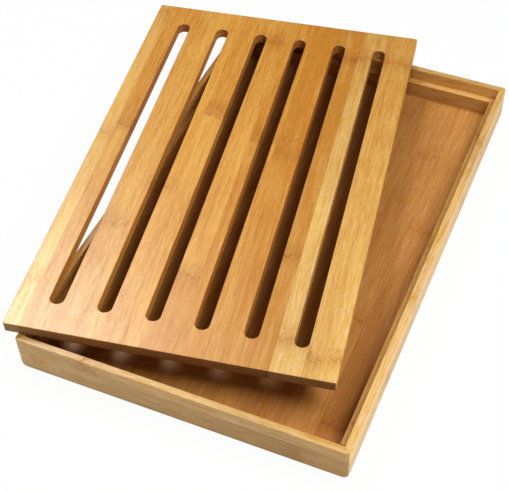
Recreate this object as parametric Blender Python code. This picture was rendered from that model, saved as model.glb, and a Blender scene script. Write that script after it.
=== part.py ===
"""Slotted bamboo bread board lying askew on its crumb tray.

Metres, +Z up, +X to the right along the tray's short front wall, +Y to the back.
The origin is on the surface that the tray stands on, under the middle of the front
wall and half way through its thickness.
"""

import math

import bmesh
import bpy
from mathutils import Matrix, Vector

# Board: eleven full-thickness strips glued edge to edge
BOARD_LENGTH = 0.4194
BOARD_THICKNESS = 0.0095
BOARD_CORNER_RADIUS = 0.0015
BOARD_EASE = 0.0006
STRIP_COUNT = 11
STRIP_WIDTH = 0.0245
FIRST_STRIP_WIDTH = 0.0128
LAST_STRIP_WIDTH = 0.0267

# Slots that let the crumbs through
SLOT_COUNT = 6
SLOT_WIDTH = 0.0118
SLOT_SIDE_MARGIN = 0.0266
SLOT_END_MARGIN = 0.0268

# Tray: four mitred walls round a grooved-in bottom
WALL_THICKNESS = 0.0058
WALL_HEIGHT = 0.0344
TRAY_CORNER_RADIUS = 0.0030
RIM_EASE = 0.0006
FOOT_EASE = 0.0022
BOTTOM_LIFT = 0.0030
BOTTOM_THICKNESS = 0.0046
GROOVE_DEPTH = 0.0025

# Ledge strips that carry the board when it is seated
LEDGE_DROP = 0.0110
END_LEDGE_WIDTH = 0.0065
SIDE_LEDGE_WIDTH = 0.0055
LEDGE_EASE = 0.0004

# Fits
SEAT_CLEARANCE = 0.0010
GLUE_GAP = 0.0003
REST_GAP = 0.0003
CUT_OVERRUN = 0.0020

# Where the loose board's middle lies from the tray's, as shares of the tray's width and length
BOARD_SHIFT_X_SHARE = -0.1988
BOARD_SHIFT_Y_SHARE = 0.0372
BOARD_YAW = math.radians(9.58)

# Smoothness of the curves
CORNER_SEGMENTS = 6
SLOT_END_SEGMENTS = 20
EASE_SEGMENTS = 2

# Colours, linear
WALL_COLOUR = (0.46, 0.29, 0.130)
BOTTOM_COLOUR = (0.48, 0.235, 0.075)
LEDGE_COLOUR = (0.55, 0.30, 0.105)
STRIP_COLOUR = (0.72, 0.39, 0.125)
STRIP_TONE_SHARES = (1.06, 0.94, 1.02, 1.00, 0.96, 0.98, 0.94, 0.88, 0.84, 1.04, 0.98)
WOOD_ROUGHNESS = 0.45

# Sizes that follow from the ones above
BOARD_WIDTH = FIRST_STRIP_WIDTH + STRIP_WIDTH * (STRIP_COUNT - 2) + LAST_STRIP_WIDTH
SLOT_PITCH = (BOARD_WIDTH - 2 * SLOT_SIDE_MARGIN - SLOT_WIDTH) / (SLOT_COUNT - 1)
INNER_WIDTH = BOARD_WIDTH + 2 * SEAT_CLEARANCE
INNER_LENGTH = BOARD_LENGTH + 2 * SEAT_CLEARANCE
OUTER_WIDTH = INNER_WIDTH + 2 * WALL_THICKNESS
OUTER_LENGTH = INNER_LENGTH + 2 * WALL_THICKNESS
TRAY_MIDDLE = Vector((0, (OUTER_LENGTH - WALL_THICKNESS) / 2, 0))
FLOOR_TOP = BOTTOM_LIFT + BOTTOM_THICKNESS
LEDGE_TOP = WALL_HEIGHT - LEDGE_DROP
LEDGE_FOOT = FLOOR_TOP + GLUE_GAP
SLOT_LENGTH = BOARD_LENGTH - 2 * SLOT_END_MARGIN


def make_material(name, colour, tone=1.0):
    """Principled bamboo in one tone."""
    material = bpy.data.materials.new(name)
    material.use_nodes = True
    shader = material.node_tree.nodes["Principled BSDF"]
    toned = tuple(channel * tone for channel in colour)
    shader.inputs["Base Color"].default_value = (*toned, 1.0)
    shader.inputs["Roughness"].default_value = WOOD_ROUGHNESS
    shader.inputs["Metallic"].default_value = 0.0
    material.diffuse_color = (*toned, 1.0)
    return material


def add_object(name, bm, parent, location, material):
    """Write a bmesh to a named object under its parent."""
    bmesh.ops.recalc_face_normals(bm, faces=bm.faces)
    mesh = bpy.data.meshes.new(name)
    bm.to_mesh(mesh)
    bm.free()
    piece = bpy.data.objects.new(name, mesh)
    bpy.context.scene.collection.objects.link(piece)
    piece.parent = parent
    piece.location = location
    if material is not None:
        mesh.materials.append(material)
    return piece


def add_empty(name, location, yaw=0.0):
    """A frame that pieces hang from."""
    frame = bpy.data.objects.new(name, None)
    bpy.context.scene.collection.objects.link(frame)
    frame.location = location
    frame.rotation_euler = (0, 0, yaw)
    return frame


def rounded_rectangle(width, length, radius, segments):
    """Corner points of a rectangle round the origin, anticlockwise."""
    points = []
    for turn, side_x, side_y in ((0, 1, 1), (1, -1, 1), (2, -1, -1), (3, 1, -1)):
        centre = Vector((side_x * (width / 2 - radius), side_y * (length / 2 - radius)))
        for step in range(segments + 1):
            angle = math.radians(90) * (turn + step / segments)
            points.append(centre + radius * Vector((math.cos(angle), math.sin(angle))))
    return points


def prism(outline, low, high):
    """Close a plan outline into a solid between two heights."""
    bm = bmesh.new()
    corners = [bm.verts.new((point.x, point.y, low)) for point in outline]
    face = bm.faces.new(corners)
    grown = bmesh.ops.extrude_face_region(bm, geom=[face])
    raised = [item for item in grown["geom"] if isinstance(item, bmesh.types.BMVert)]
    bmesh.ops.translate(bm, verts=raised, vec=(0, 0, high - low))
    return bm


def ease_edges(bm, height, tolerance, width):
    """Round off every edge that lies flat at one height."""
    chosen = []
    for edge in bm.edges:
        if all(abs(vert.co.z - height) < tolerance for vert in edge.verts):
            chosen.append(edge)
    bmesh.ops.bevel(bm, geom=chosen, offset=width, segments=EASE_SEGMENTS, profile=0.5, affect="EDGES")


def saw(bm, point, normal):
    """Cut the solid at a plane, drop the side the normal points to and close the cut."""
    everything = bm.verts[:] + bm.edges[:] + bm.faces[:]
    bmesh.ops.bisect_plane(bm, geom=everything, plane_co=point, plane_no=normal, clear_outer=True)
    rim = [edge for edge in bm.edges if edge.is_boundary]
    bmesh.ops.holes_fill(bm, edges=rim, sides=0)


def cut_away(piece, cutter):
    """Take a cutter's shape out of a piece."""
    modifier = piece.modifiers.new("cut_" + cutter.name, "BOOLEAN")
    modifier.operation = "DIFFERENCE"
    modifier.solver = "EXACT"
    modifier.object = cutter


def hide_cutter(cutter):
    cutter.hide_render = True
    cutter.display_type = "WIRE"


def tray_ring():
    """The four walls as one ring, edges eased, before the mitres are sawn."""
    radius = min(TRAY_CORNER_RADIUS, WALL_THICKNESS)
    outer = rounded_rectangle(OUTER_WIDTH, OUTER_LENGTH, radius, CORNER_SEGMENTS)
    bm = prism(outer, 0, WALL_HEIGHT)
    tolerance = RIM_EASE / 2
    ease_edges(bm, WALL_HEIGHT, tolerance, RIM_EASE)
    ease_edges(bm, 0, tolerance, FOOT_EASE)
    return bm


def tray_wall(name, parent, cutters, toward, half_depth, half_width):
    """One wall: the ring sawn at its two mitres, with the inside cut out."""
    bm = tray_ring()
    side = Vector((-toward.y, toward.x, 0))
    mitre_gap = GLUE_GAP / 2
    corner = toward * half_depth
    for sign in (-1, 1):
        normal = (side * sign - toward).normalized()
        saw(bm, corner + side * sign * half_width - normal * mitre_gap, normal)
    material = make_material(name + "_bamboo", WALL_COLOUR)
    wall = add_object(name, bm, parent, (0, 0, 0), material)
    for cutter in cutters:
        cut_away(wall, cutter)
    return wall


def box(width, length, low, high):
    """A plain block round the origin in plan, between two heights."""
    half_x = width / 2
    half_y = length / 2
    outline = [Vector((-half_x, -half_y)), Vector((half_x, -half_y))]
    outline += [Vector((half_x, half_y)), Vector((-half_x, half_y))]
    return prism(outline, low, high)


def add_tray():
    """Walls, grooved-in bottom and the ledge strips."""
    tray = add_empty("tray", TRAY_MIDDLE)

    inside = box(INNER_WIDTH, INNER_LENGTH, -CUT_OVERRUN, WALL_HEIGHT + CUT_OVERRUN)
    inside_cutter = add_object("inside_cutter", inside, tray, (0, 0, 0), None)
    hide_cutter(inside_cutter)

    groove_width = INNER_WIDTH + 2 * GROOVE_DEPTH
    groove_length = INNER_LENGTH + 2 * GROOVE_DEPTH
    groove = box(groove_width, groove_length, BOTTOM_LIFT - GLUE_GAP, FLOOR_TOP + GLUE_GAP)
    groove_cutter = add_object("groove_cutter", groove, tray, (0, 0, 0), None)
    hide_cutter(groove_cutter)

    cutters = (inside_cutter, groove_cutter)
    half_width = OUTER_WIDTH / 2
    half_length = OUTER_LENGTH / 2
    tray_wall("tray_front_wall", tray, cutters, Vector((0, -1, 0)), half_length, half_width)
    tray_wall("tray_back_wall", tray, cutters, Vector((0, 1, 0)), half_length, half_width)
    tray_wall("tray_left_wall", tray, cutters, Vector((-1, 0, 0)), half_width, half_length)
    tray_wall("tray_right_wall", tray, cutters, Vector((1, 0, 0)), half_width, half_length)

    panel_width = groove_width - 2 * GLUE_GAP
    panel_length = groove_length - 2 * GLUE_GAP
    panel = box(panel_width, panel_length, BOTTOM_LIFT, FLOOR_TOP)
    add_object("tray_bottom", panel, tray, (0, 0, 0), make_material("tray_bottom_bamboo", BOTTOM_COLOUR))

    end_y = INNER_LENGTH / 2 - GLUE_GAP - END_LEDGE_WIDTH / 2
    side_x = INNER_WIDTH / 2 - GLUE_GAP - SIDE_LEDGE_WIDTH / 2
    end_length = INNER_WIDTH - 2 * GLUE_GAP
    side_length = INNER_LENGTH - 2 * (END_LEDGE_WIDTH + 2 * GLUE_GAP)
    ledges = (
        ("ledge_front", end_length, END_LEDGE_WIDTH, (0, -end_y, 0)),
        ("ledge_back", end_length, END_LEDGE_WIDTH, (0, end_y, 0)),
        ("ledge_left", SIDE_LEDGE_WIDTH, side_length, (-side_x, 0, 0)),
        ("ledge_right", SIDE_LEDGE_WIDTH, side_length, (side_x, 0, 0)),
    )
    for name, width, length, location in ledges:
        strip = box(width, length, LEDGE_FOOT, LEDGE_TOP)
        ease_edges(strip, LEDGE_TOP, LEDGE_EASE / 2, LEDGE_EASE)
        add_object(name, strip, tray, location, make_material(name + "_bamboo", LEDGE_COLOUR))


def slot_centres():
    """Where the slots lie across the board."""
    first = -SLOT_PITCH * (SLOT_COUNT - 1) / 2
    return [first + SLOT_PITCH * index for index in range(SLOT_COUNT)]


def slot_outline():
    """A slot in plan: straight sides and half-round ends."""
    radius = SLOT_WIDTH / 2
    reach = SLOT_LENGTH / 2 - radius
    points = []
    for end, start_angle in ((1, 0), (-1, 180)):
        for step in range(SLOT_END_SEGMENTS + 1):
            angle = math.radians(start_angle + 180 * step / SLOT_END_SEGMENTS)
            points.append(Vector((radius * math.cos(angle), end * reach + radius * math.sin(angle))))
    return points


def strip_edges():
    """Left and right edge of each strip across the board."""
    left = -BOARD_WIDTH / 2
    joints = [left + FIRST_STRIP_WIDTH + STRIP_WIDTH * index for index in range(STRIP_COUNT - 1)]
    lefts = [left] + joints
    rights = joints + [BOARD_WIDTH / 2]
    return list(zip(lefts, rights))


def board_blank():
    """The whole board before it is slotted, with eased edges."""
    outline = rounded_rectangle(BOARD_WIDTH, BOARD_LENGTH, BOARD_CORNER_RADIUS, CORNER_SEGMENTS)
    bm = prism(outline, 0, BOARD_THICKNESS)
    tolerance = BOARD_EASE / 2
    ease_edges(bm, BOARD_THICKNESS, tolerance, BOARD_EASE)
    ease_edges(bm, 0, tolerance, BOARD_EASE)
    return bm


def add_board():
    """The loose board, strip by strip, on a frame at the middle of its underside."""
    shift_x = OUTER_WIDTH * BOARD_SHIFT_X_SHARE
    shift_y = OUTER_LENGTH * BOARD_SHIFT_Y_SHARE
    shift = Vector((shift_x, shift_y, WALL_HEIGHT + REST_GAP))
    board = add_empty("board", TRAY_MIDDLE + shift, BOARD_YAW)

    slot_cutters = []
    for index, centre in enumerate(slot_centres()):
        cutter_shape = prism(slot_outline(), -CUT_OVERRUN, BOARD_THICKNESS + CUT_OVERRUN)
        cutter_name = "slot_cutter_%d" % (index + 1)
        cutter = add_object(cutter_name, cutter_shape, board, (centre, 0, 0), None)
        hide_cutter(cutter)
        slot_cutters.append((centre, cutter))

    for index, (left, right) in enumerate(strip_edges()):
        middle = (left + right) / 2
        bm = board_blank()
        if index > 0:
            saw(bm, Vector((left + GLUE_GAP / 2, 0, 0)), Vector((-1, 0, 0)))
        if index < STRIP_COUNT - 1:
            saw(bm, Vector((right - GLUE_GAP / 2, 0, 0)), Vector((1, 0, 0)))
        bmesh.ops.transform(bm, matrix=Matrix.Translation((-middle, 0, 0)), verts=bm.verts)
        name = "board_strip_%02d" % (index + 1)
        tone = STRIP_TONE_SHARES[index % len(STRIP_TONE_SHARES)]
        material = make_material(name + "_bamboo", STRIP_COLOUR, tone)
        strip = add_object(name, bm, board, (middle, 0, 0), material)
        for centre, cutter in slot_cutters:
            if centre - SLOT_WIDTH / 2 < right - GLUE_GAP / 2 and centre + SLOT_WIDTH / 2 > left + GLUE_GAP / 2:
                cut_away(strip, cutter)


def main():
    for leftover in list(bpy.data.objects):
        bpy.data.objects.remove(leftover, do_unlink=True)
    add_tray()
    add_board()


main()
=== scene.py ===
"""Slotted bamboo bread board lying askew on its crumb tray: finish, stage and light.

Metres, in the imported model's frame: +X to the right along the tray's short front wall,
+Y to the back, +Z up from the surface that the tray stands on.
"""

import math
from typing import NamedTuple

import bmesh
import bpy
from bpy.props import FloatProperty, FloatVectorProperty, PointerProperty
from mathutils import Matrix, Vector


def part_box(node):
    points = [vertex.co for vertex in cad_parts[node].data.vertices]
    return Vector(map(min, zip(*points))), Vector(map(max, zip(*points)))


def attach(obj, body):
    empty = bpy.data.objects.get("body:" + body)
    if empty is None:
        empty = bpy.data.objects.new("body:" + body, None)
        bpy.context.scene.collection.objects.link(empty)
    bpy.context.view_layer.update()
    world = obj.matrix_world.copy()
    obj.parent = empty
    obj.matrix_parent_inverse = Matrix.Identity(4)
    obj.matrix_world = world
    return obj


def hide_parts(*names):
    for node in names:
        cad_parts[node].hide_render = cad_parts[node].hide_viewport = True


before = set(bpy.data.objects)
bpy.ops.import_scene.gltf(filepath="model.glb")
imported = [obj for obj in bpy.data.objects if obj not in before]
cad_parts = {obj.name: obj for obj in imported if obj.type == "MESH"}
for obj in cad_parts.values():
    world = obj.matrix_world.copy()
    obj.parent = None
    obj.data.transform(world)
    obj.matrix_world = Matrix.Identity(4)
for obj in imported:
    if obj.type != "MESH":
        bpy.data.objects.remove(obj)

bl_info = {
    "name": "Bread Board and Crumb Tray",
    "version": (1, 0, 0),
    "blender": (4, 5, 0),
    "location": "View3D > Sidebar > Bread Board",
    "description": "Builds the finished bamboo bread board, its crumb tray and the stage they stand on",
    "category": "Object",
}

# Strips of the board, from the left
STRIP_COUNT = 11
SLOT_COUNT = 6
STRIP_NODES = ["board_strip_%02d" % (number + 1) for number in range(STRIP_COUNT)]

# Which way each wall lies from the tray's middle
WALL_SIDES = {
    "tray_front_wall": Vector((0, -1, 0)),
    "tray_back_wall": Vector((0, 1, 0)),
    "tray_left_wall": Vector((-1, 0, 0)),
    "tray_right_wall": Vector((1, 0, 0)),
}

# Shaping: how far a cutter reaches past its piece, how near counts as the same place, how near a
# ledge lies to a wall it is glued to, what counts as straight, upright, sharp or smooth, and the
# share of its half width that rounds a slot's end
CUT_OVERRUN = 0.002
SAW_SLACK = 1e-6
MERGE_DISTANCE = 1e-7
SAME_PLACE = 1e-5
GLUED_WITHIN = 0.001
STRAIGHT = 0.999
UPRIGHT_FACE = 0.5
SHARP_ANGLE = math.radians(60)
SMOOTH_ANGLE = math.radians(40)
SLOT_END_SHARE = 0.9999

# Faces in each rounding
PANEL_STEPS = 2
RIM_STEPS = 3
EDGE_STEPS = 4
CORNER_STEPS = 6
OUTER_STEPS = 8
SLOT_END_STEPS = 14

# Kinds of socket in the node groups
NUMBER = "NodeSocketFloat"
VECTOR = "NodeSocketVector"

# Attributes that carry a strip's look on its faces, and the place of a knuckle that doesn't show
STRIP_LAYERS = ("strip_look", "strip_drift", "strip_marks", "strip_knuckles")
FAR_OFF = 1.0

# Tone: the middle of the noise, how far clouds and streaks move the tone, half the length over which
# it changes at a knuckle, how its slope is counted, how much a cloud warms, and how far past its dark
# colour a piece that runs across may go, which is room for the painted shade on the back wall and back
# ledge
NOISE_MIDDLE = 0.5
CLOUD_SWING = 0.95
STREAK_SWING = 1.35
STEP_BLEND = 0.004
SLOPES_PER_METRE = 5.0
CLOUD_WARMTH = 0.8
DEEPEST_PAINTED_SHADE_ACROSS = -0.6

# Fine grain: how deep fibres, thin lines and pores are, on the bottom panel less, and the number
# whose power each of red, green and blue follows
FIBRE_SWING = 0.58
LINE_DEPTH = 0.20
PORE_DEPTH = 0.13
BOTTOM_GRAIN = 0.72
FINE_BASES = (2.0, 3.8, 230.0)

# Knuckle marks: sideways bends of their rows in metres, depth of the halo, tint of the pale specks
WOBBLE = 0.0034
WANDER = 0.0060
SWIRL = 0.0075
SECOND_ROW_SHARE = 0.5
HALO_DEPTH = 0.34
SPECK_TINT = (1.12, 1.13, 1.12)

# Sawn faces: how much end grain a slot's end shows, and how dark the cut fibres' dots are
SLOT_END_GRAIN = 0.22
DOT_DEPTH = 0.35

# Roughness that each mark adds, and the relief of the surface
FINE_ROUGHNESS = -0.25
DASH_ROUGHNESS = 0.25
END_ROUGHNESS = 0.22
SLOT_ROUGHNESS = 0.25
DASH_DENT = 0.10
DOT_DENT = 0.4
RELIEF_STRENGTH = 0.35
RELIEF_HEIGHT = 0.00025

# Paper floor: its size, and the ring over which its shadow fades to plain white
PAPER_MIDDLE = (0.0, 0.2, 0.0)
PAPER_RADIUS = 6.0
PAPER_CORNERS = 96
PAPER_ROUGHNESS = 0.9
FADE_START = 0.35
FADE_END = 1.1

# Square lamps: where each hangs, how wide it is and where it aims
RIGHT_LAMP = ((0.68, 0.15, 1.02), 0.7, (-0.10, -0.50, 0.0))
BACK_LAMP = ((-0.80, 0.62, 1.3), 0.5, (0.0, -0.45, 0.0))
FRONT_LAMP = ((0.15, -1.10, 0.38), 0.6, (0.0, 0.0, 0.0))

# Camera: place, the directions of the picture's right and top, and how the picture is framed
CAMERA_PLACE = (0.25314, -0.40652, 0.71233)
CAMERA_RIGHT = (0.926993, 0.375073, 0.002095)
CAMERA_UP = (-0.279820, 0.687834, 0.669765)
CAMERA_SHIFT = (-0.0700, 0.0120)
SENSOR_WIDTH = 36.0
NEAREST_SEEN = 0.01
FARTHEST_SEEN = 50.0


class StripLook(NamedTuple):
    """How one bamboo strip looks. Lengths are in metres along the strip."""

    tone: float  # nought is its material's dark colour, one the light colour
    warmth: float  # how far it goes to amber
    seed: float  # which stretch of the grain it shows
    knuckles: tuple  # places of its knuckles, three at most
    step: float = 0.0  # change of tone past the first knuckle; on the back wall and back ledge it is painted shade, darker on their left under the board
    slope: float = 0.0  # change of tone along its length; on the board partly the strips' own drift and partly painted light, paler at the front and darker at the back; on the back wall, back ledge and last floor strips painted shade
    strength: float = 0.50  # strength of the knuckle marks
    halo: float = 0.0  # how far a knuckle's halo lies to one side


# From left to right, places from the board's middle. Their slopes are partly the strips' own drift of tone
# and partly painted light: paler towards the front, darker towards the back.
BOARD_STRIPS = (
    StripLook(1.14, 0.45, 0.13, (-0.161, 0.014, 0.199), step=-0.06, slope=-0.36, strength=0.60),
    StripLook(0.40, 1.00, 1.31, (0.027,), step=-0.37, slope=0.08, strength=0.90),
    StripLook(0.53, 0.83, 2.47, (-0.091,), step=0.16, slope=-0.13, strength=0.60, halo=0.004),
    StripLook(0.66, 1.30, 3.11, (-0.041,), step=-0.16, slope=0.08, strength=0.65),
    StripLook(0.40, 1.10, 4.59, (0.057,), step=-0.36, slope=0.09, strength=1.00, halo=0.012),
    StripLook(0.36, 0.96, 5.23, (-0.133, 0.174), step=0.39, slope=-0.13, strength=0.90),
    StripLook(0.26, 0.87, 6.71, (0.034,), step=-0.18, slope=0.06, strength=0.90, halo=0.008),
    StripLook(0.08, 0.43, 7.37, (0.040,), slope=-0.24, strength=0.80, halo=-0.018),
    StripLook(0.10, -0.20, 8.83, (-0.095, 0.164), step=0.05, slope=-0.09, strength=1.10),
    StripLook(0.86, -0.45, 9.41, (-0.178, 0.169), slope=-0.26, strength=1.10),
    StripLook(0.62, -0.15, 10.9, (-0.191, 0.167), slope=-0.40, strength=1.00),
)

# From left to right, places along the tray. The last three strips, by the right wall, darken towards the
# front: painted shade of the right wall and the board.
FLOOR_STRIPS = (
    StripLook(0.45, 0.40, 20.1, (0.090, 0.290)),
    StripLook(0.55, 0.20, 21.7, (0.200,)),
    StripLook(0.35, 0.55, 22.3, (0.050, 0.330)),
    StripLook(0.60, 0.30, 23.9, (0.150, 0.380)),
    StripLook(0.50, 0.60, 24.5, (0.240,)),
    StripLook(0.40, 0.35, 25.1, (0.110, 0.350)),
    StripLook(0.55, 0.45, 26.7, (0.180,)),
    StripLook(0.45, 0.30, 27.3, (0.060, 0.300)),
    StripLook(0.60, 0.50, 28.9, (0.220,)),
    StripLook(0.40, 0.40, 29.5, (0.130, 0.390)),
    StripLook(0.40, 0.35, 30.1, (0.160,), strength=0.55),
    StripLook(0.48, 0.30, 31.7, (0.341, 0.135), slope=0.08, strength=0.55),
    StripLook(-0.06, 0.30, 32.3, (0.247, 0.032), slope=0.46, strength=0.60),
    StripLook(0.20, 0.40, 33.9, (0.249,), slope=0.20),
)

# Lower strip, upper strip and rim of each wall, places along the wall
WALL_STRIPS = {
    "tray_front_wall": (
        StripLook(0.76, 0.00, 40.3, (0.098, -0.125), step=0.50, slope=-1.20),
        StripLook(1.00, 0.00, 41.9, (-0.077,), strength=0.70),
        StripLook(0.92, -0.15, 41.9, (-0.077,), slope=0.15, strength=0.70),
    ),
    # Painted shade: the back wall's lower and upper strips step and slope darker towards the left, where
    # the board lies over them
    "tray_back_wall": (
        StripLook(0.00, 0.80, 42.7, (-0.040, 0.120), slope=1.10, strength=0.55),
        StripLook(0.30, 0.60, 43.1, (0.045, -0.115), step=1.20, slope=0.95, strength=0.55),
        StripLook(0.62, 0.00, 43.1, (0.045, -0.115), strength=0.55),
    ),
    "tray_left_wall": (
        StripLook(0.30, 0.40, 44.9, (0.110, 0.330), strength=0.55),
        StripLook(0.40, 0.40, 45.3, (0.050, 0.240, 0.410), strength=0.55),
        StripLook(0.00, 0.60, 45.3, (0.050, 0.240, 0.410), strength=0.55),
    ),
    # Painted light: the right wall's lower and upper strips lie far past the light colour, standing in for
    # the lamp on the right and the white paper reflected in its side
    "tray_right_wall": (
        StripLook(1.56, -0.45, 46.7, (0.085, 0.290), slope=-0.20, strength=0.55),
        StripLook(2.12, -0.10, 47.9, (0.150, 0.345), slope=-0.25, strength=0.60),
        StripLook(1.32, -0.20, 47.9, (0.150, 0.345), slope=-0.25, strength=0.60),
    ),
}

# One strip each, places along the ledge
LEDGE_STRIPS = {
    "ledge_front": StripLook(0.50, 0.30, 50.3, (-0.050, 0.100), strength=0.60),
    # Painted shade: the back ledge steps and slopes darker towards the left, past its dark colour, under
    # the board
    "ledge_back": StripLook(-0.16, 0.00, 51.9, (0.045, -0.090), step=0.77, slope=0.95, strength=0.60),
    "ledge_left": StripLook(0.45, 0.30, 52.7, (0.140, 0.330), strength=0.60),
    "ledge_right": StripLook(0.50, 0.45, 53.1, (0.030, 0.220, 0.370), strength=0.90),
}


class BoardSizes(bpy.types.PropertyGroup):
    """Sizes of the slotted board."""

    width: FloatProperty(name="Width", description="Board across its strips", default=0.26, unit="LENGTH")
    length: FloatProperty(
        name="Length", description="Board along its strips", default=0.4194, unit="LENGTH"
    )
    turn: FloatProperty(
        name="Turn", description="How far it lies askew", default=math.radians(9.58), unit="ROTATION"
    )
    strip_width: FloatProperty(
        name="Strip Width", description="One full strip", default=0.0245, unit="LENGTH"
    )
    first_strip_width: FloatProperty(
        name="First Strip Width", description="The trimmed left strip", default=0.0128, unit="LENGTH"
    )
    slot_width: FloatProperty(
        name="Slot Width", description="Across one slot", default=0.0118, unit="LENGTH"
    )
    slot_length: FloatProperty(
        name="Slot Length", description="End to end of one slot", default=0.3658, unit="LENGTH"
    )
    slot_pitch: FloatProperty(
        name="Slot Pitch", description="From one slot to the next", default=0.039, unit="LENGTH"
    )
    corner_round: FloatProperty(
        name="Corner Round", description="Radius of the upright corners", default=0.0015, unit="LENGTH"
    )
    edge_round: FloatProperty(
        name="Edge Round", description="Radius of the outer edges", default=0.0007, unit="LENGTH"
    )
    slot_round: FloatProperty(
        name="Slot Round", description="Radius of the slots' edges", default=0.0005, unit="LENGTH"
    )
    seam: FloatProperty(
        name="Seam", description="Hairline between two strips", default=0.00006, unit="LENGTH"
    )


class TraySizes(bpy.types.PropertyGroup):
    """Sizes of the crumb tray that the frame doesn't give."""

    corner_round: FloatProperty(
        name="Corner Round", description="Radius round front and back", default=0.003, unit="LENGTH"
    )
    side_foot_round: FloatProperty(
        name="Side Foot Round", description="Radius of the side walls' lower edges",
        default=0.0056, unit="LENGTH",
    )
    rim_round: FloatProperty(
        name="Rim Round", description="Radius of the rim's two edges", default=0.0006, unit="LENGTH"
    )
    ledge_round: FloatProperty(
        name="Ledge Round", description="Radius of a ledge's edges", default=0.0004, unit="LENGTH"
    )
    seam: FloatProperty(
        name="Seam", description="Hairline between two pieces", default=0.00006, unit="LENGTH"
    )
    groove_depth: FloatProperty(
        name="Groove Depth", description="Groove for the bottom panel", default=0.0025, unit="LENGTH"
    )
    floor_strip_width: FloatProperty(
        name="Floor Strip Width", description="One strip of the bottom panel",
        default=0.0202, unit="LENGTH",
    )
    wall_strip_height: FloatProperty(
        name="Wall Strip Height", description="The lower of the two strips in a wall",
        default=0.0232, unit="LENGTH",
    )


class BambooFinish(bpy.types.PropertyGroup):
    """Colours and surface of the bamboo."""

    board_light: FloatVectorProperty(
        name="Board Light", description="Palest board strip",
        subtype="COLOR", default=(0.75, 0.43, 0.113),
    )
    board_dark: FloatVectorProperty(
        name="Board Dark", description="Darkest board strip",
        subtype="COLOR", default=(0.56, 0.223, 0.021),
    )
    wall_light: FloatVectorProperty(
        name="Wall Light", description="Pale wall strip",
        subtype="COLOR", default=(0.72, 0.43, 0.145),
    )
    wall_dark: FloatVectorProperty(
        name="Wall Dark", description="Dark wall strip",
        subtype="COLOR", default=(0.50, 0.265, 0.065),
    )
    floor_light: FloatVectorProperty(
        name="Floor Light", description="Pale floor strip",
        subtype="COLOR", default=(0.57, 0.280, 0.080),
    )
    floor_dark: FloatVectorProperty(
        name="Floor Dark", description="Dark floor strip",
        subtype="COLOR", default=(0.42, 0.168, 0.043),
    )
    ledge_light: FloatVectorProperty(
        name="Ledge Light", description="Pale ledge strip",
        subtype="COLOR", default=(0.74, 0.43, 0.145),
    )
    ledge_dark: FloatVectorProperty(
        name="Ledge Dark", description="Dark ledge strip",
        subtype="COLOR", default=(0.52, 0.26, 0.070),
    )
    amber: FloatVectorProperty(
        name="Amber", description="Tint of the warmer strips",
        subtype="COLOR", default=(1.07, 1.00, 0.76),
    )
    knuckle: FloatVectorProperty(
        name="Knuckle", description="Tint of the knuckle marks",
        subtype="COLOR", default=(0.60, 0.38, 0.03),
    )
    end_grain: FloatVectorProperty(
        name="End Grain", description="Tint of sawn ends",
        subtype="COLOR", default=(0.38, 0.31, 0.27),
    )
    slot_side: FloatVectorProperty(
        name="Slot Side", description="Tint of the slots' sawn sides",
        subtype="COLOR", default=(0.69, 0.59, 0.52),
    )
    # Painted shade colour: this grey-blue tint on the board's underside makes the light bounced into the
    # shade under the board greyer and darker
    underside: FloatVectorProperty(
        name="Underside", description="Tint of the board's shade_greying underside",
        subtype="COLOR", default=(0.50, 0.82, 1.70),
    )
    board_gloss: FloatVectorProperty(
        name="Board Gloss", description="Roughness on top, more of it on the sides, index",
        default=(0.32, 0.15, 1.6),
    )
    wall_gloss: FloatVectorProperty(
        name="Wall Gloss", description="The same for the walls and ledges",
        default=(0.34, 0.12, 1.43),
    )
    floor_gloss: FloatVectorProperty(
        name="Floor Gloss", description="The same for the bottom panel",
        default=(0.40, 0.10, 1.28),
    )


class StageSettings(bpy.types.PropertyGroup):
    """Floor, light and camera."""

    floor_colour: FloatVectorProperty(
        name="Floor Colour", description="Paper that the tray stands on",
        subtype="COLOR", default=(0.92,) * 3,
    )
    shadow_share: FloatProperty(
        name="Shadow Share", description="How much of the shadow shows", default=0.04, min=0, max=1
    )
    world_level: FloatProperty(name="World Level", description="Light from all round", default=0.11, min=0)
    right_level: FloatProperty(
        name="Right Lamp", description="Power of the lamp on the right", default=12.9, unit="POWER"
    )
    back_level: FloatProperty(
        name="Back Lamp", description="Power of the back left lamp", default=12.3, unit="POWER"
    )
    front_level: FloatProperty(
        name="Front Lamp", description="Power of the lamp in front", default=1.15, unit="POWER"
    )
    lens: FloatProperty(name="Lens", description="Focal length in millimetres", default=78.715)


def deselect_all():
    """Leave nothing selected, so that an operator acts on one piece alone."""
    if bpy.context.mode != "OBJECT":
        bpy.ops.object.mode_set(mode="OBJECT")
    bpy.ops.object.select_all(action="DESELECT")


def work_on(piece):
    """Make a piece the only selected and the active one."""
    deselect_all()
    piece.select_set(True)
    bpy.context.view_layer.objects.active = piece


def edit_whole(piece):
    """Enter edit mode with all of a piece selected."""
    work_on(piece)
    bpy.ops.object.mode_set(mode="EDIT")
    bpy.ops.mesh.select_all(action="SELECT")


def add_block(name, low, high):
    """A box between two corners, its place in its mesh."""
    deselect_all()
    middle = (low + high) / 2
    bpy.ops.mesh.primitive_cube_add(size=1, location=middle)
    piece = bpy.context.active_object
    piece.name = name
    piece.data.name = name
    piece.scale = high - low
    bpy.ops.object.transform_apply(location=True, rotation=True, scale=True)
    return piece


def select_edges(piece, wanted):
    """Enter edit mode with only the wanted edges selected."""
    work_on(piece)
    bpy.ops.object.mode_set(mode="EDIT")
    bpy.ops.mesh.select_mode(type="EDGE")
    bpy.ops.mesh.select_all(action="DESELECT")
    cage = bmesh.from_edit_mesh(piece.data)
    for edge in cage.edges:
        edge.select_set(bool(wanted(edge)))
    bmesh.update_edit_mesh(piece.data)


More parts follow.
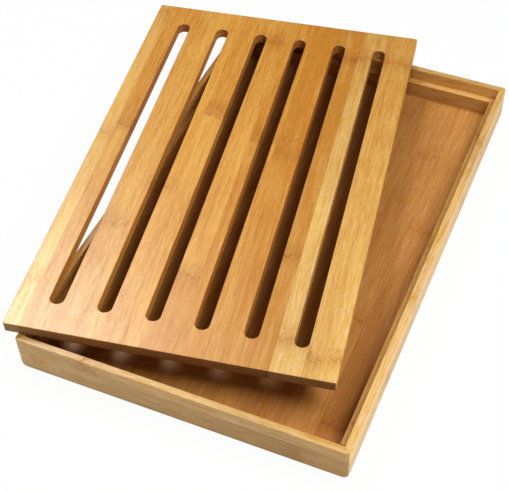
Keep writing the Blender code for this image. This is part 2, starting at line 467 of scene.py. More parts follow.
def round_edges(piece, wanted, radius, steps):
    """Round the wanted edges over."""
    select_edges(piece, wanted)
    bpy.ops.mesh.bevel(
        offset=radius, offset_type="OFFSET", segments=steps, affect="EDGES", clamp_overlap=False
    )
    bpy.ops.object.mode_set(mode="OBJECT")


def runs_along(edge, axis):
    """True for an edge that runs straight along an axis."""
    run = edge.verts[1].co - edge.verts[0].co
    return abs(run[axis]) > STRAIGHT * run.length


def is_upright(edge):
    """True for an edge that runs straight up."""
    return runs_along(edge, 2)


def lies_at(edge, place, axis=2):
    """True for an edge in one level plane, or in a plane across another axis."""
    return all(abs(vert.co[axis] - place) < SAME_PLACE for vert in edge.verts)


def is_sharp(edge):
    """True where two faces meet at a clear corner."""
    return len(edge.link_faces) == 2 and edge.calc_face_angle() > SHARP_ANGLE


def cut_away(piece, cutter):
    """Take a cutter's shape out of a piece, and the cutter out of the scene."""
    work_on(piece)
    modifier = piece.modifiers.new("cut", "BOOLEAN")
    modifier.operation = "DIFFERENCE"
    modifier.solver = "EXACT"
    modifier.object = cutter
    bpy.ops.object.modifier_apply(modifier=modifier.name)
    bpy.data.objects.remove(cutter, do_unlink=True)


def copy_piece(piece, name):
    """A copy with its own mesh."""
    work_on(piece)
    bpy.ops.object.duplicate()
    twin = bpy.context.active_object
    twin.name = name
    twin.data.name = name
    return twin


def saw(piece, point, normal):
    """Saw a piece at a plane and keep the side that the normal points away from."""
    edit_whole(piece)
    bpy.ops.mesh.bisect(
        plane_co=point, plane_no=normal, use_fill=True, clear_outer=True, threshold=SAW_SLACK
    )
    bpy.ops.mesh.select_all(action="SELECT")
    bpy.ops.mesh.normals_make_consistent(inside=False)
    bpy.ops.object.mode_set(mode="OBJECT")


def score(piece, point, normal):
    """Add an edge loop where a plane meets a piece, without parting it."""
    edit_whole(piece)
    bpy.ops.mesh.bisect(plane_co=point, plane_no=normal, threshold=SAW_SLACK)
    bpy.ops.object.mode_set(mode="OBJECT")


def finish_shape(piece):
    """Smooth the rounded edges and keep the flats flat."""
    edit_whole(piece)
    bpy.ops.mesh.remove_doubles(threshold=MERGE_DISTANCE)
    bpy.ops.mesh.normals_make_consistent(inside=False)
    bpy.ops.object.mode_set(mode="OBJECT")
    bpy.ops.object.shade_smooth_by_angle(angle=SMOOTH_ANGLE)
    modifier = piece.modifiers.new("flats", "WEIGHTED_NORMAL")
    modifier.keep_sharp = True
    bpy.ops.object.modifier_apply(modifier=modifier.name)


def give_material(piece, material):
    """Make a material the piece's only one."""
    piece.data.materials.clear()
    piece.data.materials.append(material)


def mark_strips(piece, looks, which, is_cut=lambda polygon: False):
    """Write the look of each face's strip to the mesh, for the materials to read."""
    mesh = piece.data
    for name in STRIP_LAYERS:
        mesh.attributes.new(name, "FLOAT_VECTOR", "FACE")
    look, drift, marks, places = (mesh.attributes[name].data for name in STRIP_LAYERS)
    for polygon in mesh.polygons:
        strip = looks[which(polygon.center)]
        look[polygon.index].vector = (strip.tone, strip.warmth, strip.seed)
        drift[polygon.index].vector = (strip.step, strip.slope, 0.0)
        marks[polygon.index].vector = (strip.strength, strip.halo, float(is_cut(polygon)))
        places[polygon.index].vector = (*strip.knuckles, FAR_OFF, FAR_OFF)[:3]


class Wiring:
    """Adds nodes to a tree. A value may be a number, a vector or another node's socket."""

    def __init__(self, tree):
        self.tree = tree

    def add(self, kind, **settings):
        node = self.tree.nodes.new(kind)
        for name, value in settings.items():
            setattr(node, name, value)
        return node

    def feed(self, socket, value):
        if isinstance(value, bpy.types.NodeSocket):
            self.tree.links.new(value, socket)
        else:
            socket.default_value = value

    def feed_all(self, sockets, values):
        for socket, value in zip(sockets, values):
            self.feed(socket, value)

    def maths(self, operation, *values):
        node = self.add("ShaderNodeMath", operation=operation)
        self.feed_all(node.inputs, values)
        return node.outputs[0]

    def plus(self, first, second):
        return self.maths("ADD", first, second)

    def minus(self, first, second):
        return self.maths("SUBTRACT", first, second)

    def times(self, first, second):
        return self.maths("MULTIPLY", first, second)

    def vector(self, operation, *values, output="Vector"):
        node = self.add("ShaderNodeVectorMath", operation=operation)
        self.feed_all(node.inputs, values)
        return node.outputs[output]

    def split(self, vector):
        node = self.add("ShaderNodeSeparateXYZ")
        self.feed(node.inputs[0], vector)
        return node.outputs[0], node.outputs[1], node.outputs[2]

    def join(self, x, y, z):
        node = self.add("ShaderNodeCombineXYZ")
        self.feed_all(node.inputs, (x, y, z))
        return node.outputs[0]

    def noise(self, place, per_metre, detail=1.0, distortion=0.0):
        """Smooth noise whose cells are one over per_metre in size."""
        node = self.add("ShaderNodeTexNoise", noise_dimensions="3D")
        self.feed(node.inputs["Vector"], self.vector("MULTIPLY", place, per_metre))
        node.inputs["Scale"].default_value = 1.0
        node.inputs["Detail"].default_value = detail
        node.inputs["Distortion"].default_value = distortion
        return node.outputs[0]

    def swing(self, noise, reach):
        """Noise moved about nought, over the given reach."""
        return self.times(self.minus(noise, NOISE_MIDDLE), reach)

    def fit(self, value, low, high, to_low=0.0, to_high=1.0):
        """Bring a value from one range to another, held at its ends, with a soft start and stop."""
        node = self.add("ShaderNodeMapRange", interpolation_type="SMOOTHSTEP")
        self.feed_all(node.inputs, (value, low, high, to_low, to_high))
        return node.outputs[0]

    def hump(self, value, middle, width):
        """One at the middle, falling off to nought over the width on both sides."""
        off = self.maths("DIVIDE", self.minus(value, middle), width)
        return self.maths("EXPONENT", self.times(self.times(off, off), -1.0))

    def choose(self, factor, first, second):
        """A number between two others."""
        node = self.add("ShaderNodeMix", data_type="FLOAT")
        self.feed_all((node.inputs[0], node.inputs[2], node.inputs[3]), (factor, first, second))
        return node.outputs[0]

    def blend(self, factor, first, second, kind="MIX", clamp=True):
        """A colour between two others, or past them where the factor isn't clamped."""
        node = self.add("ShaderNodeMix", data_type="RGBA", blend_type=kind, clamp_factor=clamp)
        self.feed_all((node.inputs[0], node.inputs[6], node.inputs[7]), (factor, first, second))
        return node.outputs[2]

    def tint(self, colour, tint):
        """A colour multiplied by another one or by a vector's socket."""
        if not isinstance(tint, bpy.types.NodeSocket):
            tint = (*tint, 1.0)
        return self.blend(1.0, colour, tint, kind="MULTIPLY")

    def group(self, tree, **values):
        """Place a node group and give its inputs, with spaces in their names for underscores."""
        node = self.add("ShaderNodeGroup", node_tree=tree)
        for name, value in values.items():
            self.feed(node.inputs[name.replace("_", " ")], value)
        return node.outputs


def new_group(name, inputs, outputs):
    """An empty shader node group with named sockets."""
    tree = bpy.data.node_groups.new(name, "ShaderNodeTree")
    for socket_name, kind in inputs.items():
        tree.interface.new_socket(socket_name, in_out="INPUT", socket_type=kind)
    for socket_name, kind in outputs.items():
        tree.interface.new_socket(socket_name, in_out="OUTPUT", socket_type=kind)
    wires = Wiring(tree)
    source = wires.add("NodeGroupInput").outputs
    target = wires.add("NodeGroupOutput").inputs
    return wires, source, target


def knuckle_group():
    """Knuckle marks: wavy dark dashes across the strip, a fainter second row and a wide halo."""
    wires, given, made = new_group(
        "Bamboo Knuckle",
        {"Place": VECTOR, "Places Along": VECTOR, "Halo Shift": NUMBER},
        {"Dashes": NUMBER, "Specks": NUMBER, "Halo": NUMBER, "Place": VECTOR},
    )
    place = given["Place"]
    across, along, up = wires.split(place)
    first, second, third = wires.split(given["Places Along"])

    wobble = wires.noise(place, per_metre=(340.0, 6.0, 120.0), detail=2.0)
    wander = wires.noise(place, per_metre=(75.0, 3.0, 60.0), detail=0.0)
    bend = wires.plus(wires.times(wobble, WOBBLE), wires.times(wander, WANDER))
    bent = wires.minus(along, wires.minus(bend, (WOBBLE + WANDER) / 2))

    nearest = wires.minus(bent, first)
    for knuckle in (second, third):
        other = wires.minus(bent, knuckle)
        closer = wires.maths("LESS_THAN", wires.maths("ABSOLUTE", other), wires.maths("ABSOLUTE", nearest))
        nearest = wires.choose(closer, nearest, other)

    first_row = wires.hump(nearest, middle=0.0, width=0.0028)
    second_row = wires.hump(nearest, middle=0.0105, width=0.0020)
    rows = wires.plus(first_row, wires.times(second_row, SECOND_ROW_SHARE))
    halo = wires.hump(nearest, middle=given["Halo Shift"], width=0.0105)

    flecks = wires.noise(place, per_metre=(560.0, 330.0, 560.0), detail=1.0, distortion=0.6)
    curls = wires.noise(place, per_metre=(300.0, 240.0, 300.0), detail=0.0, distortion=0.8)
    curl = wires.fit(wires.maths("ABSOLUTE", wires.minus(curls, NOISE_MIDDLE)), low=0.055, high=0.0)
    speckle = wires.fit(flecks, low=0.52, high=0.66)
    dashes = wires.times(rows, wires.maths("MAXIMUM", curl, speckle))
    specks = wires.times(rows, wires.fit(flecks, low=0.46, high=0.36))

    push = wires.noise(place, per_metre=(210.0, 160.0, 210.0), detail=1.0)
    swirl = wires.times(wires.swing(push, SWIRL), wires.hump(nearest, middle=0.004, width=0.0085))
    wires.feed(made["Dashes"], dashes)
    wires.feed(made["Specks"], specks)
    wires.feed(made["Halo"], halo)
    wires.feed(made["Place"], wires.join(wires.plus(across, swirl), along, up))
    return wires.tree


def grain_group():
    """Lengthwise grain: broad streaks, long thin lines and fine fibres."""
    wires, given, made = new_group(
        "Bamboo Grain",
        {"Place": VECTOR, "Seed": NUMBER},
        {"Cloud": NUMBER, "Streak": NUMBER, "Line": NUMBER, "Fibre": NUMBER, "Pore": NUMBER},
    )
    shift = wires.join(given["Seed"], given["Seed"], given["Seed"])
    place = wires.vector("ADD", given["Place"], shift)
    line = wires.noise(place, per_metre=(800.0, 30.0, 800.0), detail=1.0)
    pore = wires.noise(place, per_metre=(1700.0, 230.0, 1700.0), detail=0.0)
    wires.feed(made["Cloud"], wires.noise(place, per_metre=(55.0, 7.5, 55.0), detail=1.0))
    wires.feed(made["Streak"], wires.noise(place, per_metre=(380.0, 20.0, 380.0), detail=2.0))
    wires.feed(made["Line"], wires.fit(line, low=0.58, high=0.74))
    wires.feed(made["Fibre"], wires.noise(place, per_metre=(1250.0, 90.0, 1250.0), detail=2.0))
    wires.feed(made["Pore"], wires.fit(pore, low=0.63, high=0.76))
    return wires.tree


def end_grain_group():
    """Sawn ends: a mask from the way a face looks, and the dark dots of the cut fibres."""
    wires, given, made = new_group(
        "Bamboo End Grain",
        {"Place": VECTOR, "Facing": VECTOR, "Seed": NUMBER},
        {"Mask": NUMBER, "Dots": NUMBER},
    )
    facing = wires.maths("ABSOLUTE", wires.split(given["Facing"])[1])
    shift = wires.join(given["Seed"], 0.0, given["Seed"])
    cells = wires.add("ShaderNodeTexVoronoi", feature="F1", voronoi_dimensions="3D")
    per_metre = (1500.0, 25.0, 1700.0)
    spread = wires.vector("MULTIPLY", wires.vector("ADD", given["Place"], shift), per_metre)
    wires.feed(cells.inputs["Vector"], spread)
    cells.inputs["Scale"].default_value = 1.0
    wires.feed(made["Mask"], wires.fit(facing, low=0.45, high=0.85))
    wires.feed(made["Dots"], wires.fit(cells.outputs["Distance"], low=0.50, high=0.18))
    return wires.tree


def shared_groups():
    """The three effects that every bamboo material uses, built once."""
    names = ("Bamboo Knuckle", "Bamboo Grain", "Bamboo End Grain")
    makers = (knuckle_group, grain_group, end_grain_group)
    return [bpy.data.node_groups.get(name) or maker() for name, maker in zip(names, makers)]


def turned_back(wires, socket, turn, middle=(0, 0, 0)):
    """A place or facing as seen by a piece that lies straight round the origin."""
    node = wires.add("ShaderNodeMapping", vector_type="TEXTURE")
    wires.feed(node.inputs["Vector"], socket)
    node.inputs["Location"].default_value = middle
    node.inputs["Rotation"].default_value = (0, 0, turn)
    return wires.split(node.outputs[0])


def read_strip(wires):
    """The sockets of a face's strip look, and of whether the face is a slot's side."""
    look, drift, marks, places = (
        wires.add("ShaderNodeAttribute", attribute_name=name).outputs["Vector"] for name in STRIP_LAYERS
    )
    tone, warmth, seed = wires.split(look)
    step, slope, _ = wires.split(drift)
    strength, halo, in_slot = wires.split(marks)
    return StripLook(tone, warmth, seed, places, step, slope, strength, halo), in_slot


def strip_tone(wires, strip, along, cloud, streak):
    """How far each spot goes from the dark colour to the light one."""
    level = wires.plus(wires.plus(strip.tone, cloud), streak)
    # The step past the first knuckle and the slope along the strip carry painted light and shade on some
    # pieces, besides the strips' own tone
    past_first = wires.minus(along, wires.split(strip.knuckles)[0])
    side = wires.fit(past_first, low=-STEP_BLEND, high=STEP_BLEND, to_low=-0.5, to_high=0.5)
    level = wires.plus(level, wires.times(side, strip.step))
    reach = wires.times(along, SLOPES_PER_METRE)
    return wires.plus(level, wires.times(reach, strip.slope))


def fine_grain(wires, grain, grain_depth):
    """Fibres, thin lines and pores, about nought."""
    fine = wires.swing(grain["Fibre"], FIBRE_SWING)
    fine = wires.minus(fine, wires.times(grain["Line"], LINE_DEPTH))
    fine = wires.minus(fine, wires.times(grain["Pore"], PORE_DEPTH))
    return wires.times(fine, grain_depth)


def bamboo_material(
    name, light, dark, gloss, axes, middle=(0, 0, 0), turn=0.0,
    underside=(1, 1, 1), grain_depth=1.0, lowest=0.0,
):
    """Satin bamboo. Axes say which of the object's axes run across, along and up the strip."""
    knuckle_tree, grain_tree, end_tree = shared_groups()
    finish = bpy.context.scene.bread_board_finish
    material = bpy.data.materials.new(name)
    material.use_nodes = True
    wires = Wiring(material.node_tree)
    shader = material.node_tree.nodes["Principled BSDF"]

    source = wires.add("ShaderNodeTexCoord").outputs
    placed = turned_back(wires, source["Object"], turn, middle)
    faced = turned_back(wires, source["Normal"], turn)
    place = wires.join(*(placed[axis] for axis in axes))
    facing = wires.join(*(faced[axis] for axis in axes))
    along = wires.split(place)[1]
    strip, in_slot = read_strip(wires)

    shifted = wires.vector("ADD", place, wires.join(strip.seed, 0.0, strip.seed))
    knuckle = wires.group(knuckle_tree, Place=shifted, Places_Along=strip.knuckles, Halo_Shift=strip.halo)
    grain = wires.group(grain_tree, Place=knuckle["Place"], Seed=strip.seed)
    ends = wires.group(end_tree, Place=place, Facing=facing, Seed=strip.seed)
    sawn_end = wires.times(ends["Mask"], wires.choose(in_slot, 1.0, SLOT_END_GRAIN))
    fine = fine_grain(wires, grain, grain_depth)
    dashes = wires.times(knuckle["Dashes"], strip.strength)

    # The strip's own colour
    cloud = wires.swing(grain["Cloud"], CLOUD_SWING)
    streak = wires.swing(grain["Streak"], STREAK_SWING)
    # The tone is held above the lowest, which for pieces that run across lies past the dark colour, room
    # for the painted shade on the back wall and back ledge
    tone = wires.maths("MAXIMUM", strip_tone(wires, strip, along, cloud, streak), lowest)
    colour = wires.blend(tone, (*dark, 1.0), (*light, 1.0), clamp=False)
    amber = wires.plus(strip.warmth, wires.times(cloud, CLOUD_WARMTH))
    colour = wires.blend(amber, colour, wires.tint(colour, finish.amber), clamp=False)
    colour = wires.tint(colour, wires.join(*(wires.maths("POWER", base, fine) for base in FINE_BASES)))

    # Knuckle marks
    marked = wires.tint(colour, finish.knuckle)
    halo = wires.times(wires.times(knuckle["Halo"], strip.strength), HALO_DEPTH)
    colour = wires.blend(halo, colour, marked)
    colour = wires.blend(dashes, colour, marked)
    specks = wires.times(knuckle["Specks"], strip.strength)
    colour = wires.blend(specks, colour, wires.tint(colour, SPECK_TINT))

    # Sawn slot sides, underside and ends; the underside's tint is painted shade colour, greying the light
    # bounced into the shade under the board
    colour = wires.blend(in_slot, colour, wires.tint(colour, finish.slot_side))
    below = wires.fit(wires.split(facing)[2], low=-0.5, high=-0.9)
    colour = wires.blend(below, colour, wires.tint(colour, underside))
    dots = wires.minus(1.0, wires.times(ends["Dots"], DOT_DEPTH))
    dotted = wires.tint(wires.tint(colour, finish.end_grain), wires.join(dots, dots, dots))
    colour = wires.blend(sawn_end, colour, dotted)

    # Gloss and relief
    rough, more_on_sides, ior = gloss
    side = wires.minus(1.0, wires.maths("ABSOLUTE", faced[2]))
    marks = (
        (fine, FINE_ROUGHNESS),
        (dashes, DASH_ROUGHNESS),
        (sawn_end, END_ROUGHNESS),
        (side, more_on_sides),
        (in_slot, SLOT_ROUGHNESS),
    )
    for mask, roughness in marks:
        rough = wires.plus(rough, wires.times(mask, roughness))
    height = wires.minus(fine, wires.times(dashes, DASH_DENT))
    height = wires.minus(height, wires.times(wires.times(sawn_end, ends["Dots"]), DOT_DENT))
    bump = wires.add("ShaderNodeBump")
    bump.inputs["Strength"].default_value = RELIEF_STRENGTH
    bump.inputs["Distance"].default_value = RELIEF_HEIGHT
    wires.feed(bump.inputs["Height"], height)

    wires.feed(shader.inputs["Base Color"], colour)
    wires.feed(shader.inputs["Roughness"], rough)
    wires.feed(shader.inputs["Normal"], bump.outputs["Normal"])
    shader.inputs["Metallic"].default_value = 0.0
    shader.inputs["IOR"].default_value = ior
    return material


def boxes_together(nodes):
    """Lowest and highest corner of several CAD nodes."""
    corners = [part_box(node) for node in nodes]
    low = Vector([min(corner[0][axis] for corner in corners) for axis in range(3)])
    high = Vector([max(corner[1][axis] for corner in corners) for axis in range(3)])
    return low, high


def tray_outline():
    """The tray's outer box."""
    return boxes_together(list(WALL_STRIPS))


def tray_hollow():
    """The box between the tray's walls."""
    low, high = tray_outline()
    front_low, front_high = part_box("tray_front_wall")
    wall = front_high.y - front_low.y
    inset = Vector((wall, wall, 0))
    return low + inset, high - inset


class BREADBOARD_OT_stage(bpy.types.Operator):
    """Lay the paper floor, hang the lamps and set up the camera"""

    bl_idname = "breadboard.stage"
    bl_label = "Stage"

    def execute(self, context):
        settings = context.scene.bread_board_stage
        self.lay_floor(settings)
        self.light_world(context, settings)
        self.hang_lamp("lamp_right", settings.right_level, *RIGHT_LAMP)
        self.hang_lamp("lamp_back_left", settings.back_level, *BACK_LAMP)
        self.hang_lamp("lamp_front", settings.front_level, *FRONT_LAMP)
        self.place_camera(context, settings)
        context.scene.view_settings.view_transform = "Standard"
        return {"FINISHED"}

    def lay_floor(self, settings):
        """A wide sheet of paper whose far part is plain white."""
        deselect_all()
        bpy.ops.mesh.primitive_circle_add(
            vertices=PAPER_CORNERS, radius=PAPER_RADIUS, fill_type="NGON", location=PAPER_MIDDLE
        )
        floor = bpy.context.active_object
        floor.name = "paper_floor"
        bpy.ops.object.transform_apply(location=True, rotation=True, scale=True)
        material = bpy.data.materials.new("paper")
        material.use_nodes = True
        wires = Wiring(material.node_tree)
        shader = material.node_tree.nodes["Principled BSDF"]
        shader.inputs["Base Color"].default_value = (*settings.floor_colour, 1.0)
        shader.inputs["Roughness"].default_value = PAPER_ROUGHNESS
        shader.inputs["Specular IOR Level"].default_value = 0.0
        white = wires.add("ShaderNodeEmission")
        rays = wires.add("ShaderNodeLightPath").outputs
        seen = wires.maths("MAXIMUM", rays["Is Camera Ray"], rays["Is Glossy Ray"])
        seen = wires.maths("MAXIMUM", seen, rays["Is Transmission Ray"])
        place = wires.add("ShaderNodeTexCoord").outputs["Object"]
        distance = wires.vector("DISTANCE", place, PAPER_MIDDLE, output="Value")
        far = wires.fit(distance, FADE_START, FADE_END, to_low=1.0 - settings.shadow_share)
        cover = wires.add("ShaderNodeMixShader")
        wires.feed_all(cover.inputs, (wires.times(seen, far), shader.outputs[0], white.outputs[0]))
        wires.feed(material.node_tree.nodes["Material Output"].inputs["Surface"], cover.outputs[0])
        floor.data.materials.append(material)

    def light_world(self, context, settings):
        """Even light from all round, and a white background behind the floor."""
        world = bpy.data.worlds.new("studio")
        context.scene.world = world
        world.use_nodes = True
        wires = Wiring(world.node_tree)
        rays = wires.add("ShaderNodeLightPath").outputs
        seen = wires.maths("MAXIMUM", rays["Is Camera Ray"], rays["Is Transmission Ray"])
        background = world.node_tree.nodes["Background"]
        background.inputs["Color"].default_value = (1, 1, 1, 1)
        wires.feed(background.inputs["Strength"], wires.choose(seen, settings.world_level, 1.0))

    def hang_lamp(self, name, power, place, width, aim):
        """One square soft box at a place, turned to what it aims at."""
        data = bpy.data.lights.new(name, "AREA")
        data.shape = "RECTANGLE"
        data.size = width
        data.size_y = width
        data.energy = power
        lamp = bpy.data.objects.new(name, data)
        bpy.context.scene.collection.objects.link(lamp)
        lamp.location = place
        lamp.rotation_euler = (Vector(aim) - Vector(place)).to_track_quat("-Z", "Y").to_euler()

    def place_camera(self, context, settings):
        """From the front right, looking down."""
        data = bpy.data.cameras.new("camera")
        data.sensor_width = SENSOR_WIDTH
        data.sensor_fit = "HORIZONTAL"
        data.lens = settings.lens
        data.shift_x, data.shift_y = CAMERA_SHIFT
        data.clip_start = NEAREST_SEEN
        data.clip_end = FARTHEST_SEEN
        camera = bpy.data.objects.new("camera", data)
        context.scene.collection.objects.link(camera)
        right = Vector(CAMERA_RIGHT)
        up = Vector(CAMERA_UP)
        turn = Matrix((right, up, right.cross(up))).transposed()
        camera.matrix_world = Matrix.Translation(CAMERA_PLACE) @ turn.to_4x4()
        context.scene.camera = camera


class BREADBOARD_OT_board(bpy.types.Operator):
    """Shape the slotted board and saw it into its glued strips"""

    bl_idname = "breadboard.board"
    bl_label = "Board Strips"

    def execute(self, context):
        sizes = context.scene.bread_board_sizes
        finish = context.scene.bread_board_finish
        low, high = boxes_together(STRIP_NODES)
        middle = Vector(((low.x + high.x) / 2, (low.y + high.y) / 2, low.z))
        blank = self.shape_blank(sizes, high.z - low.z)
        material = bamboo_material(
            "board_bamboo", finish.board_light, finish.board_dark, finish.board_gloss, (0, 1, 2),
            middle=middle, turn=sizes.turn, underside=finish.underside,
        )
        across = sizes.width / 2 - sizes.edge_round
        along = sizes.length / 2 - sizes.edge_round

        def in_slot(polygon):
            """True for a face on a slot's side."""
            upright = abs(polygon.normal.z) < UPRIGHT_FACE
            return upright and abs(polygon.center.x) < across and abs(polygon.center.y) < along

        first_joint = -sizes.width / 2 + sizes.first_strip_width
        joints = [first_joint + sizes.strip_width * number for number in range(STRIP_COUNT - 1)]
        for number in range(STRIP_COUNT):
            strip = copy_piece(blank, "strip_%02d" % (number + 1))
            if number > 0:
                saw(strip, (joints[number - 1] + sizes.seam / 2, 0, 0), (-1, 0, 0))
            if number < STRIP_COUNT - 1:
                saw(strip, (joints[number] - sizes.seam / 2, 0, 0), (1, 0, 0))
            finish_shape(strip)
            mark_strips(strip, BOARD_STRIPS, lambda centre, row=number: row, is_cut=in_slot)
            work_on(strip)
            strip.location = middle
            strip.rotation_euler = (0, 0, sizes.turn)
            bpy.ops.object.transform_apply(location=True, rotation=True, scale=True)
            give_material(strip, material)
            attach(strip, "board")
            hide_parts(STRIP_NODES[number])
        bpy.data.objects.remove(blank, do_unlink=True)
        return {"FINISHED"}

    def shape_blank(self, sizes, thickness):
        """The whole board round the origin: rounded, slotted and eased."""

        def is_level(edge):
            """True for an edge of the top or the underside."""
            return lies_at(edge, 0) or lies_at(edge, thickness)

        def is_slot_rim(edge):
            """True for a slot's edge at the top or the underside."""
            return is_level(edge) and is_sharp(edge) and all(
                abs(vert.co.x) < inside.x and abs(vert.co.y) < inside.y for vert in edge.verts
            )

        half = Vector((sizes.width / 2, sizes.length / 2, 0))
        inside = half - Vector((sizes.edge_round, sizes.edge_round, 0)) * 2
        rise = Vector((0, 0, thickness))
        blank = add_block("blank", -half, half + rise)
        round_edges(blank, is_upright, sizes.corner_round, CORNER_STEPS)
        round_edges(blank, is_level, sizes.edge_round, EDGE_STEPS)
        first = -sizes.slot_pitch * (SLOT_COUNT - 1) / 2
        reach = Vector((sizes.slot_width / 2, sizes.slot_length / 2, CUT_OVERRUN))
        for number in range(SLOT_COUNT):
            centre = Vector((first + sizes.slot_pitch * number, 0, 0))
            cutter = add_block("slot_cutter", centre - reach, centre + reach + rise)
            round_edges(cutter, is_upright, sizes.slot_width / 2 * SLOT_END_SHARE, SLOT_END_STEPS)
            cut_away(blank, cutter)
        round_edges(blank, is_slot_rim, sizes.slot_round, RIM_STEPS)
        return blank


class BREADBOARD_OT_walls(bpy.types.Operator):
    """Shape the tray's walls as one ring and saw it at the mitres"""

    bl_idname = "breadboard.walls"
    bl_label = "Tray Walls"

    def execute(self, context):
        sizes = context.scene.bread_board_tray
        finish = context.scene.bread_board_finish
        low, high = tray_outline()
        ring = self.shape_ring(sizes, low, high)
        middle = Vector(((low.x + high.x) / 2, (low.y + high.y) / 2, 0))
        half = (high - low) / 2
        bamboo = (finish.wall_light, finish.wall_dark, finish.wall_gloss)
        across = bamboo_material("wall_bamboo_across", *bamboo, (2, 0, 1), lowest=DEEPEST_PAINTED_SHADE_ACROSS)
        along = bamboo_material("wall_bamboo_along", *bamboo, (2, 1, 0))
        levels = (sizes.wall_strip_height, high.z - sizes.rim_round)
        for node, toward in WALL_SIDES.items():
            piece = copy_piece(ring, node.replace("tray_", ""))
            side = Vector((-toward.y, toward.x, 0))
            for sign in (-1, 1):
                normal = (side * sign - toward).normalized()
                out = toward + side * sign
                corner = middle + Vector((out.x * half.x, out.y * half.y, 0))
                saw(piece, corner - normal * sizes.seam / 2, normal)
            score(piece, (0, 0, sizes.wall_strip_height), (0, 0, 1))
            finish_shape(piece)
            mark_strips(piece, WALL_STRIPS[node], lambda centre: sum(centre.z > level for level in levels))
            give_material(piece, across if toward.y else along)
            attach(piece, "tray")
            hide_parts(node)
        bpy.data.objects.remove(ring, do_unlink=True)
        return {"FINISHED"}

    def shape_ring(self, sizes, low, high):
        """The four walls in one: rounded outside, hollowed, and grooved for the bottom."""

        def is_side_foot(edge):
            """True for a side wall's outer lower edge."""
            return lies_at(edge, low.z) and runs_along(edge, 1)

        def is_rim(edge):
            """True for an edge of the rim."""
            return lies_at(edge, high.z)

        def is_end(edge):
            """True for an edge round the front or back face, but for the rim's."""
            return not is_rim(edge) and (lies_at(edge, low.y, axis=1) or lies_at(edge, high.y, axis=1))

        ring = add_block("ring", low, high)
        round_edges(ring, is_side_foot, sizes.side_foot_round, OUTER_STEPS)
        round_edges(ring, is_end, sizes.corner_round, OUTER_STEPS)
        round_edges(ring, is_rim, sizes.rim_round, RIM_STEPS)
        inner_low, inner_high = tray_hollow()
        overrun = Vector((0, 0, CUT_OVERRUN))
        cut_away(ring, add_block("hollow", inner_low - overrun, inner_high + overrun))
        round_edges(ring, lambda edge: is_rim(edge) and is_sharp(edge), sizes.rim_round, RIM_STEPS)
        panel_low, panel_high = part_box("tray_bottom")
        reach = Vector((sizes.groove_depth, sizes.groove_depth, 0))
        groove_low = Vector((inner_low.x, inner_low.y, panel_low.z - sizes.seam)) - reach
        groove_high = Vector((inner_high.x, inner_high.y, panel_high.z + sizes.seam)) + reach
        cut_away(ring, add_block("groove", groove_low, groove_high))
        return ring


class BREADBOARD_OT_bottom(bpy.types.Operator):
    """Glue up the bottom panel from its strips"""

    bl_idname = "breadboard.bottom"
    bl_label = "Bottom Panel"

    def execute(self, context):
        sizes = context.scene.bread_board_tray
        finish = context.scene.bread_board_finish
        low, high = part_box("tray_bottom")
        panel = add_block("bottom_panel", low, high)
        half_count = len(FLOOR_STRIPS) // 2
        joints = [sizes.floor_strip_width * number for number in range(1 - half_count, half_count)]
        for place in joints:
            score(panel, (place, 0, 0), (1, 0, 0))
        round_edges(panel, is_sharp, sizes.ledge_round, PANEL_STEPS)
        finish_shape(panel)
        mark_strips(panel, FLOOR_STRIPS, lambda centre: sum(centre.x > place for place in joints))
        material = bamboo_material(
            "floor_bamboo", finish.floor_light, finish.floor_dark, finish.floor_gloss, (0, 1, 2),
            grain_depth=BOTTOM_GRAIN,
        )
        give_material(panel, material)
        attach(panel, "tray")
        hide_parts("tray_bottom")
        return {"FINISHED"}


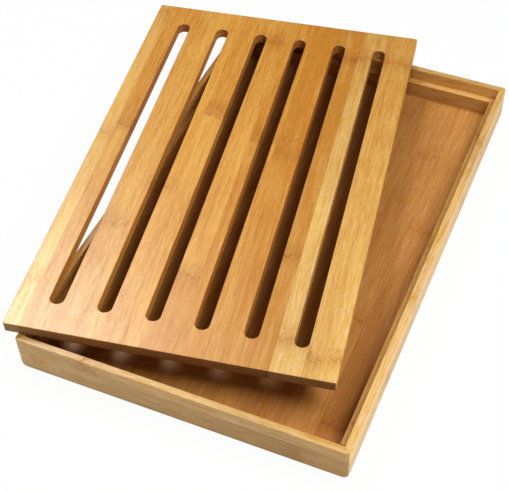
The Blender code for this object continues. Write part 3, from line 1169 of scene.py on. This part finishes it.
class BREADBOARD_OT_ledges(bpy.types.Operator):
    """Glue the four ledge strips inside the walls"""

    bl_idname = "breadboard.ledges"
    bl_label = "Ledges"

    def execute(self, context):
        sizes = context.scene.bread_board_tray
        finish = context.scene.bread_board_finish
        inner_low, inner_high = tray_hollow()
        floor_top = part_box("tray_bottom")[1].z
        bamboo = (finish.ledge_light, finish.ledge_dark, finish.wall_gloss)
        across = bamboo_material("ledge_bamboo_across", *bamboo, (1, 0, 2), lowest=DEEPEST_PAINTED_SHADE_ACROSS)
        along = bamboo_material("ledge_bamboo_along", *bamboo, (0, 1, 2))
        for node, look in LEDGE_STRIPS.items():
            low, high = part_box(node)
            runs_across = high.x - low.x > high.y - low.y
            for axis in (0, 1):
                if low[axis] - inner_low[axis] < GLUED_WITHIN:
                    low[axis] = inner_low[axis] + sizes.seam
                if inner_high[axis] - high[axis] < GLUED_WITHIN:
                    high[axis] = inner_high[axis] - sizes.seam
            low.z = floor_top + sizes.seam
            ledge = add_block(node.replace("ledge_", "") + "_ledge", low, high)
            top = high.z
            round_edges(ledge, lambda edge: lies_at(edge, top), sizes.ledge_round, RIM_STEPS)
            finish_shape(ledge)
            mark_strips(ledge, [look], lambda centre: 0)
            give_material(ledge, across if runs_across else along)
            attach(ledge, "tray")
            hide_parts(node)
        return {"FINISHED"}


class BREADBOARD_PT_panel(bpy.types.Panel):
    """Every piece of the bread board, and the sizes and colours it is made from"""

    bl_idname = "BREADBOARD_PT_panel"
    bl_label = "Bread Board"
    bl_space_type = "VIEW_3D"
    bl_region_type = "UI"
    bl_category = "Bread Board"

    def draw(self, context):
        for operator in OPERATORS:
            self.layout.operator(operator.bl_idname)
        for settings_name, group in SETTINGS:
            box = self.layout.box()
            for name in group.__annotations__:
                box.prop(getattr(context.scene, settings_name), name)


OPERATORS = (
    BREADBOARD_OT_stage,
    BREADBOARD_OT_walls,
    BREADBOARD_OT_bottom,
    BREADBOARD_OT_ledges,
    BREADBOARD_OT_board,
)
SETTINGS = (
    ("bread_board_sizes", BoardSizes),
    ("bread_board_tray", TraySizes),
    ("bread_board_finish", BambooFinish),
    ("bread_board_stage", StageSettings),
)


def register():
    for name, group in SETTINGS:
        bpy.utils.register_class(group)
        setattr(bpy.types.Scene, name, PointerProperty(type=group))
    for cls in (*OPERATORS, BREADBOARD_PT_panel):
        bpy.utils.register_class(cls)


def unregister():
    for cls in (BREADBOARD_PT_panel, *reversed(OPERATORS)):
        bpy.utils.unregister_class(cls)
    for name, group in reversed(SETTINGS):
        delattr(bpy.types.Scene, name)
        bpy.utils.unregister_class(group)


def main():
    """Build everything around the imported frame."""
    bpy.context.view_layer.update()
    register()
    bpy.ops.breadboard.stage()
    bpy.ops.breadboard.walls()
    bpy.ops.breadboard.bottom()
    bpy.ops.breadboard.ledges()
    bpy.ops.breadboard.board()


if __name__ == "__main__":
    main()
